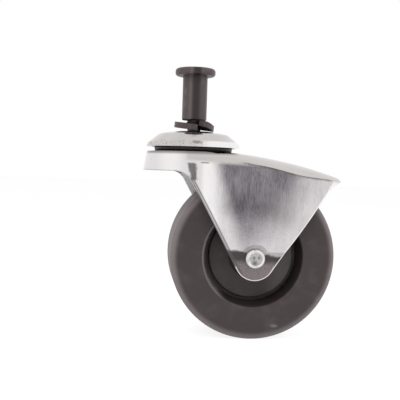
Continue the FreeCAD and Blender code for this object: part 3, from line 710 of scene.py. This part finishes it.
@dataclass(frozen=True)
class BlackOxide:
    """Satin black oxide with lighter clouds, and a painted dark reflection band beside a painted highlight band
    down its middle.
    """

    name: str
    black: Colour = (0.053, 0.039, 0.040)
    # Colour of the lighter clouds and of the painted highlight band.
    rubbed_and_sheen: Colour = (0.097, 0.076, 0.078)
    # Colour of the painted dark reflection band.
    painted_dark: Colour = (0.014, 0.010, 0.010)
    cloud_span: Span = (0.45, 0.8)
    cloud_cover: float = 0.7
    band: float = 0.95
    band_at: float = 0.15
    band_width: Span = (0.5, 2.3)
    beside_at: float = -2.1
    beside_width: Span = (0.2, 0.9)
    beside_cover: float = 0.6
    rough: float = 0.33
    grain_rough: float = 0.12
    cloud_rough: float = 0.06
    grain_depth: float = 0.006
    edge_round: float = 0.25
    ior: float = 1.4

    def build(self) -> Material:
        """Make the material of the barrel nut or of the spring washer.

        Returns:
            The material.
        """
        graph = Graph(self.name)
        cloud = graph.noise((0.4, 0.4, 0.25))
        grain = graph.noise((5.0, 5.0, 2.0), rough=0.6, shift=7.0)
        base = graph.blend(cloud.step(*self.cloud_span) * self.cloud_cover, self.black, self.rubbed_and_sheen)
        across = graph.axes(graph.place())[0]
        # The dark band down the middle is a painted reflection, and the lighter band beside it a painted
        # highlight.
        base = graph.blend(across.near(self.band_at, *self.band_width) * self.band, base, self.painted_dark)
        beside = across.near(self.beside_at, *self.beside_width) * self.band
        base = graph.blend(beside * self.beside_cover, base, self.rubbed_and_sheen)
        rough = self.rough + grain * self.grain_rough + cloud * self.cloud_rough
        relief = graph.bump(grain, self.grain_depth, graph.soft_edges(self.edge_round))
        return graph.finish(Base_Color=base, Roughness=rough, Metallic=0.0, Normal=relief, IOR=self.ior)


@dataclass(frozen=True)
class HardRubber:
    """Hard dark rubber of the wheel, matt, with dust, a painted sheen on its rim, painted light and shade in
    its recess, and one scuff on its side face.
    """

    centre: Vector
    dark: Colour = (0.026, 0.0170, 0.0182)
    # Colour of the dust and of the painted light.
    dust_and_light_tone: Colour = (0.135, 0.114, 0.116)
    # Colour of the painted shade on the recess wall.
    painted_dark: Colour = (0.014, 0.0090, 0.0095)
    scuffed: Colour = (0.30, 0.27, 0.26)
    rim_span: Span = (28.6, 31.1)
    wall_foot: Span = (17.65, 18.05)
    wall_top: Span = (18.85, 19.45)
    disc_end: Span = (16.35, 17.25)
    disc_side: Span = (3.0, 14.0)
    left_side: Span = (-15.0, -9.0)
    recess_radius: float = 19.05
    lip_at: float = 0.5
    lip_width: Span = (0.1, 0.35)
    cloud_span: Span = (0.45, 0.8)
    cloud_cover: float = 0.14
    grain_span: Span = (0.62, 0.85)
    grain_cover: float = 0.2
    rim_cover: float = 0.85
    ring_scale: float = 1.3
    ring_cover: float = 0.05
    wall_cover: float = 1.2
    lip_cover: float = 0.6
    disc_cover: float = 0.35
    disc_cloud_cover: float = 0.4
    deep_cover: float = 0.9
    scuff_at: Point = (8.7, -26.2)
    scuff_shape: Place = (1.0, 0.0, 2.2)
    scuff_size: Span = (0.5, 2.1)
    scuff_grain: Span = (0.35, 0.6)
    scuff_cover: float = 0.4
    rough: float = 0.50
    grain_rough: float = 0.12
    ring_rough: float = 0.06
    ring_depth: float = 0.5
    depth: float = 0.02

    def build(self) -> Material:
        """Make the material of the wheel.

        Returns:
            The material.
        """
        graph = Graph("hard_rubber")
        centre = tuple(c / MM for c in self.centre)
        radius = graph.radius(centre, ROUND_Y)
        grain = graph.noise((4.0, 4.0, 4.0), detail=4.0, rough=0.6)
        cloud = graph.noise((0.16, 0.16, 0.16), shift=2.0)
        rings = graph.line_noise(radius, self.ring_scale)
        # rim marks the rounded rim, which gets a painted sheen.
        rim = radius.step(*self.rim_span)
        wall = radius.step(*self.wall_foot) * radius.fall(*self.wall_top)
        across = graph.axes(graph.place(centre))[0]
        disc = radius.fall(*self.disc_end) * across.step(*self.disc_side)
        left = across.fall(*self.left_side)
        lip = (radius - self.recess_radius).near(self.lip_at, *self.lip_width)
        # Clouds, grain and rings are dust; the rim, the left wall and lip and the right of the recess floor add
        # painted light.
        dust_and_painted_light = cloud.step(*self.cloud_span) * self.cloud_cover + grain.step(*self.grain_span) * self.grain_cover
        dust_and_painted_light = dust_and_painted_light + rim * self.rim_cover + rings * self.ring_cover
        dust_and_painted_light = dust_and_painted_light + (wall * self.wall_cover + lip * self.lip_cover) * left
        dust_and_painted_light = dust_and_painted_light + disc * (self.disc_cover + cloud * self.disc_cloud_cover)
        spot = (centre[0] + self.scuff_at[0], 0.0, centre[2] + self.scuff_at[1])
        scuff = graph.radius(spot, self.scuff_shape).fall(*self.scuff_size) * grain.step(*self.scuff_grain)
        base = graph.blend(dust_and_painted_light, self.dark, self.dust_and_light_tone)
        # The wall's right part gets painted shade.
        base = graph.blend(wall * (1.0 - left) * self.deep_cover, base, self.painted_dark)
        base = graph.blend(scuff * self.scuff_cover, base, self.scuffed)
        rough = self.rough + grain * self.grain_rough + rings * self.ring_rough
        relief = graph.bump(grain + rings * self.ring_depth, self.depth)
        return graph.finish(Base_Color=base, Roughness=rough, Metallic=0.0, Normal=relief)


@dataclass(frozen=True)
class PeenedMetal:
    """Bright hammered rivet head with dark patches, a painted shade ring round its rim and a few pits."""

    bright: Colour = (0.78, 0.765, 0.74)
    # Colour of the pits, the dark patches and the painted shade ring.
    pit_and_painted_shade: Colour = (0.20, 0.19, 0.21)
    marks: tuple[Place, ...] = ((-0.7, 0.4, 1.1), (-0.4, -1.6, 1.9), (1.2, 0.4, 0.9))
    mark_cover: float = 0.85
    centre: Place = (23.3, 0.0, -47.5)
    ring_span: Span = (3.55, 3.9)
    ring_cover: float = 0.6
    pit_span: Span = (0.5, 0.72)
    pit_cover: float = 0.35
    rough: float = 0.22
    grain_rough: float = 0.12
    grain_depth: float = 0.004
    dent_depth: float = 0.12

    def build(self) -> Material:
        """Make the material of the axle rivet.

        Returns:
            The material.
        """
        graph = Graph("peened_metal")
        dents = graph.noise((0.35, 0.35, 0.35), detail=1.0, rough=0.5, shift=4.0)
        grain = graph.noise((1.6, 1.6, 1.6))
        pits = graph.noise((0.4, 0.4, 0.4), detail=2.0, rough=0.5, shift=9.0).step(*self.pit_span)
        base = graph.blend(pits * self.pit_cover, self.bright, self.pit_and_painted_shade)
        # The dark ring round the head's rim is painted shade.
        ring = graph.radius(self.centre, ROUND_Y).step(*self.ring_span)
        base = graph.blend(ring * self.ring_cover, base, self.pit_and_painted_shade)
        for side, rise, size in self.marks:
            middle = (self.centre[0] + side, 0.0, self.centre[2] + rise)
            mark = graph.radius(middle, ROUND_Y).fall(0.0, size)
            base = graph.blend(mark * self.mark_cover, base, self.pit_and_painted_shade)
        rough = self.rough + grain * self.grain_rough
        relief = graph.bump(grain, self.grain_depth, graph.bump(dents, self.dent_depth))
        return graph.finish(Base_Color=base, Roughness=rough, Metallic=1.0, Normal=relief)


@dataclass(frozen=True)
class WorkedStock:
    """Plain turned, pressed or moulded stock of one colour, with fine grain and slight clouding."""

    name: str
    colour: Colour
    shade: Colour
    rough: float
    metallic: float = 1.0
    grain_scale: float = 3.0
    cloud_span: Span = (0.35, 0.7)
    grain_rough: float = 0.12
    grain_depth: float = 0.006

    def build(self) -> Material:
        """Make the material.

        Returns:
            The material.
        """
        graph = Graph(self.name)
        cloud = graph.noise((0.3, 0.3, 0.3))
        grain = graph.noise((self.grain_scale,) * 3, rough=0.6, shift=6.0)
        base = graph.blend(cloud.step(*self.cloud_span), self.colour, self.shade)
        rough = self.rough + grain * self.grain_rough
        relief = graph.bump(grain, self.grain_depth)
        return graph.finish(Base_Color=base, Roughness=rough, Metallic=self.metallic, Normal=relief)


def dress(node: str, material: Material) -> None:
    """Give a piece of the frame its finish.

    Args:
        node: Name of the piece.
        material: Its finish.
    """
    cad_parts[node].data.materials[0] = material
    LOG.info("%s: dressed with %s", node, material.name)


def lathe(mesh: bmesh.types.BMesh, profile: Sequence[Point], steps: int) -> None:
    """Turn a profile about the swivel axis.

    Args:
        mesh: The bmesh that it is added to.
        profile: Points of radius and height, in metres.
        steps: Number of steps round the axis.
    """
    verts = [mesh.verts.new((radius, 0.0, height)) for radius, height in profile]
    edges = [mesh.edges.new(pair) for pair in zip(verts, verts[1:])]
    bmesh.ops.spin(mesh, geom=verts + edges, cent=(0, 0, 0), axis=(0, 0, 1), angle=2 * math.pi,
                   steps=steps, use_merge=True, use_duplicate=False)
    bmesh.ops.remove_doubles(mesh, verts=mesh.verts, dist=MERGE)


def rounded(points: Sequence[Point], radii: Sequence[float], steps: int = 10) -> list[Point]:
    """Round the inner corners of an open outline.

    Args:
        points: Corners of the outline.
        radii: Radius of each inner corner.
        steps: Straight bits of each round.

    Returns:
        The outline with its rounds.
    """
    outline = [points[0]]
    for before, corner, after, radius in zip(points, points[1:], points[2:], radii):
        corner_at = Vector(corner)
        back = (Vector(before) - corner_at).normalized()
        ahead = (Vector(after) - corner_at).normalized()
        half = back.angle(ahead) / 2
        centre = corner_at + (back + ahead).normalized() * (radius / math.sin(half))
        start = corner_at + back * (radius / math.tan(half)) - centre
        end = corner_at + ahead * (radius / math.tan(half)) - centre
        for step in range(steps + 1):
            place = centre + start.lerp(end, step / steps).normalized() * radius
            outline.append((place.x, place.y))
    outline.append(points[-1])
    return outline


def to_piece(mesh: bmesh.types.BMesh, name: str, material: Material, body: Body,
             sharp: float = 35.0) -> bpy.types.Object:
    """Close a bmesh into a smooth-shaded piece that rides on a body.

    Args:
        mesh: The finished bmesh, which is freed.
        name: Name of the piece.
        material: Its finish.
        body: The body that carries it.
        sharp: Angle in degrees above which an edge stays sharp.

    Returns:
        The piece.
    """
    bmesh.ops.recalc_face_normals(mesh, faces=mesh.faces)
    for face in mesh.faces:
        face.smooth = True
    for edge in mesh.edges:
        if len(edge.link_faces) == 2 and edge.calc_face_angle(0.0) > math.radians(sharp):
            edge.smooth = False
    data = bpy.data.meshes.new(name)
    mesh.to_mesh(data)
    mesh.free()
    data.materials.append(material)
    piece = bpy.data.objects.new(name, data)
    bpy.context.scene.collection.objects.link(piece)
    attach(piece, body.value)
    LOG.info("%s: %d faces on %s", name, len(data.polygons), body.value)
    return piece


@dataclass
class Stem:
    """Everything that stays with the furniture: stud, barrel nut, spring washer, cap and races."""

    thread_radius: float = 3.0 * MM
    thread_depth: float = 0.42 * MM
    thread_pitch: float = 1.0 * MM
    thread_steps: int = 28
    thread_sunk: float = 1.15
    ridge_half: float = 0.47
    crest_half: float = 0.2
    bare_turns: int = 2
    pin_radius: float = 4.0 * MM
    pin_steps: int = 64
    peen_radius: float = 6.4 * MM
    peen_height: float = 1.9 * MM
    peen_round: float = 1.5 * MM
    peen_steps: int = 6
    cap_gauge: float = 1.5 * MM
    cap_radius: float = 18.4 * MM
    cap_height: float = 6.2 * MM
    cap_flat: float = 7.0 * MM
    cap_crown: float = 1.0 * MM
    cap_crown_round: float = 16.0 * MM
    cap_shoulder: float = 13.4 * MM
    cap_shoulder_round: float = 4.0 * MM
    cap_rim: float = 1.4 * MM
    cap_rim_round: float = 1.2 * MM
    cap_rim_draft: float = 0.4 * MM
    cap_steps: int = 160

    def cap_profile(self) -> list[Point]:
        """Give the cap's closed section.

        The outside follows the solid. The inside, hidden above the race, runs straight and is thinner.

        Returns:
            Points of radius and height.
        """
        outside = [(self.pin_radius, 0.0), (self.cap_flat, 0.0), (self.cap_shoulder, -self.cap_crown),
                   (self.cap_radius - self.cap_rim_draft, self.cap_rim - self.cap_height),
                   (self.cap_radius, -self.cap_height)]
        rounds = (self.cap_crown_round, self.cap_shoulder_round, self.cap_rim_round)
        inside = [(self.cap_radius - self.cap_gauge, -self.cap_height),
                  (self.cap_radius - self.cap_rim_draft - self.cap_gauge, self.cap_rim - self.cap_height),
                  (self.cap_shoulder - self.cap_gauge / 2, -self.cap_crown - self.cap_gauge),
                  (self.cap_flat, -self.cap_gauge), (self.pin_radius, -self.cap_gauge)]
        return [*rounded(outside, rounds), *inside, outside[0]]

    def stud_profile(self) -> list[Point]:
        """Give the stud's outline from its foot to its tip, without the thread.

        Returns:
            Points of radius and height.
        """
        low, high = (corner.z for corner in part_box("stud"))
        root = self.thread_radius - self.thread_depth
        flat = self.peen_radius - self.peen_round
        dome = []
        for step in range(self.peen_steps + 1):
            turn = math.radians(90.0 * step / self.peen_steps)
            dome.append((flat + self.peen_round * math.sin(turn), low + self.peen_round * (1 - math.cos(turn))))
        race = low + self.peen_height
        return [(0.0, low), *dome, (self.peen_radius, race), (self.pin_radius, race), (self.pin_radius, 0.0),
                (root, 0.0), (root, high - self.thread_depth), (root - self.thread_depth, high), (0.0, high)]

    def add_thread(self, mesh: bmesh.types.BMesh) -> None:
        """Wind the rolled thread up the stud as one closed ridge.

        Args:
            mesh: The bmesh that it is added to.
        """
        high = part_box("stud")[1].z
        root = self.thread_radius - self.thread_depth * self.thread_sunk
        half = self.thread_pitch * self.ridge_half
        crest = half * self.crest_half
        turns = int(high / self.thread_pitch) - self.bare_turns
        corners = [(root, -half), (self.thread_radius, -crest), (self.thread_radius, crest), (root, half)]
        ring = [mesh.verts.new((radius, 0.0, self.thread_pitch + rise)) for radius, rise in corners]
        edges = [mesh.edges.new(pair) for pair in zip(ring, ring[1:] + ring[:1])]
        made = bmesh.ops.spin(mesh, geom=ring + edges, cent=(0, 0, 0), axis=(0, 0, 1),
                              angle=2 * math.pi * turns, dvec=(0, 0, self.thread_pitch / self.thread_steps),
                              steps=self.thread_steps * turns, use_merge=False, use_duplicate=False)
        for end in (edges, [g for g in made["geom_last"] if isinstance(g, bmesh.types.BMEdge)]):
            bmesh.ops.contextual_create(mesh, geom=end)

    def build(self) -> None:
        """Dress the stem's pieces and make the threaded stud."""
        pin_steel = WorkedStock("pin_steel", (0.09, 0.085, 0.08), (0.05, 0.045, 0.04), 0.34).build()
        race = WorkedStock("pressed_race", (0.20, 0.19, 0.18), (0.10, 0.09, 0.085), 0.3).build()
        mesh = bmesh.new()
        lathe(mesh, self.stud_profile(), self.pin_steps)
        self.add_thread(mesh)
        piece = to_piece(mesh, "king_pin", pin_steel, Body.STEM)
        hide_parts("stud")
        dress("barrel_nut", BlackOxide("black_oxide").build())
        dress("lock_washer", BlackOxide("washer_oxide", band=0.25, rough=0.38).build())
        mesh = bmesh.new()
        lathe(mesh, self.cap_profile(), self.cap_steps)
        piece = to_piece(mesh, "bearing_cap", SpunPlate().build(), Body.STEM)
        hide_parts("dome_cap")
        dress("upper_race", race)
        dress("lower_race", race)


@dataclass
class BallSwivel:
    """The two rows of balls and the dark grease packed round the upper one, which also stands in for the shade
    in the gap under the cap.
    """

    grease_radius: float = 15.2 * MM
    grease_inner: float = 12.6 * MM
    grease_high: float = -5.5 * MM
    grease_low: float = -7.9 * MM
    bulge: float = 0.25 * MM
    grease_steps: int = 128
    grease_sharp: float = 80.0

    def build(self) -> None:
        """Dress the balls and lay the grease between them."""
        ball = WorkedStock("polished_balls", (0.55, 0.55, 0.55), (0.45, 0.44, 0.43), 0.1).build()
        dress("upper_balls", ball)
        dress("lower_balls", ball)
        # The grease is dark so that it also stands in for the shade in the gap under the cap.
        grease = WorkedStock("grease_standing_for_shade", (0.020, 0.014, 0.012), (0.035, 0.026, 0.022), 0.35, 0.0, 1.5).build()
        middle = (self.grease_high + self.grease_low) / 2
        rim = self.grease_radius - self.bulge
        start = (self.grease_inner, self.grease_low)
        profile = [start, (rim, self.grease_low), (self.grease_radius, middle), (rim, self.grease_high),
                   (self.grease_inner, self.grease_high), start]
        mesh = bmesh.new()
        lathe(mesh, profile, self.grease_steps)
        to_piece(mesh, "bearing_grease", grease, Body.BALLS, sharp=self.grease_sharp)


@dataclass
class Fork:
    """The pressed fork with its axle rivet, spacer tube and thrust washers."""

    def build(self) -> None:
        """Dress the fork's pieces."""
        dress("horn", PressedPlate().build())
        dress("axle_rivet", PeenedMetal().build())
        dress("axle_tube", WorkedStock("tube_zinc", (0.55, 0.55, 0.56), (0.42, 0.42, 0.43), 0.28).build())
        nylon = WorkedStock("nylon", (0.70, 0.67, 0.60), (0.58, 0.55, 0.48), 0.45, 0.0).build()
        dress("thrust_washer_near", nylon)
        dress("thrust_washer_far", nylon)


@dataclass
class Wheel:
    """The moulded wheel and the bush in its hub."""

    def build(self) -> None:
        """Dress the wheel's pieces."""
        low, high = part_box("wheel")
        dress("wheel", HardRubber((low + high) / 2).build())
        dress("hub_bush", WorkedStock("sintered_bronze", (0.45, 0.30, 0.15), (0.30, 0.20, 0.10), 0.38).build())


@dataclass(frozen=True)
class Card:
    """Plain card that the bright metal mirrors, out of the camera's sight."""

    name: str
    centre: Place
    size: Point
    shade: float


@dataclass(frozen=True)
class Lamp:
    """Soft square lamp that lights the castor and is never mirrored in it."""

    name: str
    place: Place
    size: float
    power: float


@dataclass
class Studio:
    """Camera, lamps, pale floor and the card in front of the castor."""

    eye: Place = (-23.945 * MM, -274.146 * MM, -13.975 * MM)
    yaw: float = 0.099
    pitch: float = -0.046
    roll: float = 0.031
    lens: float = 63.0
    sensor: float = 36.0
    clip: Span = (0.01, 20.0)
    floor_size: float = 6.0
    floor_white: Colour = (0.86, 0.86, 0.86)
    floor_cover: float = 0.82
    floor_glow: float = 1.06
    fill: float = 0.75
    white: float = 1.0
    cards: tuple[Card, ...] = (
        Card("table_card", (0.070, -0.160, -0.066), (0.09, 0.024), 0.05),
    )
    lamp_aim: Place = (0.02, 0.0, -0.03)
    lamps: tuple[Lamp, ...] = (
        Lamp("key_lamp", (-0.35, -0.45, 0.55), 0.5, 5.0),
        Lamp("side_lamp", (0.55, -0.15, 0.35), 0.4, 3.0),
    )

    def add_camera(self) -> None:
        """Stand the camera where the photograph was taken from."""
        ahead = Vector((math.sin(self.yaw) * math.cos(self.pitch), math.cos(self.yaw) * math.cos(self.pitch),
                        math.sin(self.pitch)))
        level = Vector((math.cos(self.yaw), -math.sin(self.yaw), 0.0))
        rise = level.cross(ahead)
        right = math.cos(self.roll) * level + math.sin(self.roll) * rise
        up = -math.sin(self.roll) * level + math.cos(self.roll) * rise
        data = bpy.data.cameras.new("camera")
        data.lens = self.lens
        data.sensor_width = self.sensor
        data.clip_start, data.clip_end = self.clip
        camera = bpy.data.objects.new("camera", data)
        camera.matrix_world = Matrix.Translation(self.eye) @ Matrix((right, up, -ahead)).transposed().to_4x4()
        bpy.context.scene.collection.objects.link(camera)
        bpy.context.scene.camera = camera

    def add_lamps(self) -> None:
        """Hang the soft lamps, facing the castor."""
        for plan in self.lamps:
            data = bpy.data.lights.new(plan.name, "AREA")
            data.size = plan.size
            data.energy = plan.power
            lamp = bpy.data.objects.new(plan.name, data)
            lamp.visible_glossy = False
            aim = Vector(self.lamp_aim) - Vector(plan.place)
            turn = aim.to_track_quat("-Z", "Y").to_matrix().to_4x4()
            lamp.matrix_world = Matrix.Translation(plan.place) @ turn
            bpy.context.scene.collection.objects.link(lamp)

    def add_sheet(self, name: str, size: Point, place: Matrix,
                  material: Material) -> bpy.types.Object:
        """Lay or stand one flat sheet of the stage.

        Args:
            name: Name of the sheet.
            size: Its two sides, in metres.
            place: Where it lies and how it is turned.
            material: Its finish.

        Returns:
            The sheet.
        """
        mesh = bmesh.new()
        bmesh.ops.create_grid(mesh, x_segments=1, y_segments=1, size=0.5)
        bmesh.ops.scale(mesh, vec=(size[0], size[1], 1.0), verts=mesh.verts)
        bmesh.ops.transform(mesh, matrix=place, verts=mesh.verts)
        data = bpy.data.meshes.new(name)
        mesh.to_mesh(data)
        mesh.free()
        data.materials.append(material)
        sheet = bpy.data.objects.new(name, data)
        bpy.context.scene.collection.objects.link(sheet)
        return sheet

    def add_floor(self) -> None:
        """Lay the pale floor, which shows near white and keeps a soft shadow."""
        graph = Graph("pale_floor")
        rays = graph.node("ShaderNodeLightPath")
        seen = self.seen(graph, rays) * self.floor_cover
        plain = graph.node("ShaderNodeBsdfDiffuse", None, {"Color": rgba(self.floor_white)})
        white = graph.node("ShaderNodeEmission", None, {"Strength": self.floor_glow})
        mixed = graph.node("ShaderNodeMixShader", None, {0: seen, 1: plain.outputs[0], 2: white.outputs[0]})
        graph.node("ShaderNodeOutputMaterial", None, {"Surface": mixed.outputs[0]})
        level = Matrix.Translation((0, 0, CAD_BOX[0].z))
        self.add_sheet("floor", (self.floor_size, self.floor_size), level, graph.material)

    @staticmethod
    def seen(graph: Graph, rays: bpy.types.Node) -> Value:
        """Give 1 for rays of the camera and of mirrors and clear things.

        Args:
            graph: Graph of the material.
            rays: Its Light Path node.

        Returns:
            The mask.
        """
        names = ("Is Camera Ray", "Is Glossy Ray", "Is Transmission Ray")
        first, second, third = (Value(graph, rays.outputs[name]) for name in names)
        return first + second + third

    def add_cards(self) -> None:
        """Stand the cards that the bright metal mirrors."""
        for card in self.cards:
            graph = Graph(card.name)
            shine = graph.node("ShaderNodeEmission", None, {"Color": rgba((card.shade,) * 3), "Strength": 1.0})
            graph.node("ShaderNodeOutputMaterial", None, {"Surface": shine.outputs[0]})
            stand = Matrix.Translation(card.centre) @ Matrix.Rotation(math.radians(90), 4, "X")
            sheet = self.add_sheet(card.name, card.size, stand, graph.material)
            sheet.visible_camera = False
            sheet.visible_diffuse = False
            sheet.visible_shadow = False

    def add_world(self) -> None:
        """Wrap the stage in white, with an even fill light."""
        world = bpy.data.worlds.new("tent")
        world.use_nodes = True
        tree = world.node_tree
        tree.nodes.clear()
        rays = tree.nodes.new("ShaderNodeLightPath")
        seen = rays.outputs["Is Camera Ray"]
        for name in ("Is Glossy Ray", "Is Transmission Ray"):
            either = tree.nodes.new("ShaderNodeMath")
            either.operation = "MAXIMUM"
            tree.links.new(seen, either.inputs[0])
            tree.links.new(rays.outputs[name], either.inputs[1])
            seen = either.outputs[0]
        mixed = tree.nodes.new("ShaderNodeMixShader")
        tree.links.new(seen, mixed.inputs[0])
        for side, strength in enumerate((self.fill, self.white), start=1):
            light = tree.nodes.new("ShaderNodeBackground")
            light.inputs["Color"].default_value = rgba(WHITE)
            light.inputs["Strength"].default_value = strength
            tree.links.new(light.outputs[0], mixed.inputs[side])
        output = tree.nodes.new("ShaderNodeOutputWorld")
        tree.links.new(mixed.outputs[0], output.inputs[0])
        bpy.context.scene.world = world

    def build(self) -> None:
        """Set the stage and the camera."""
        bpy.context.scene.view_settings.view_transform = "Standard"
        self.add_camera()
        self.add_world()
        self.add_floor()
        self.add_cards()
        self.add_lamps()


def main() -> None:
    """Build the stage and the castor's sub-assemblies."""
    logging.basicConfig(level=logging.INFO, format="%(name)s: %(message)s")
    for part in (Studio(), Stem(), BallSwivel(), Fork(), Wheel()):
        part.build()


if __name__ == "__main__":
    main()
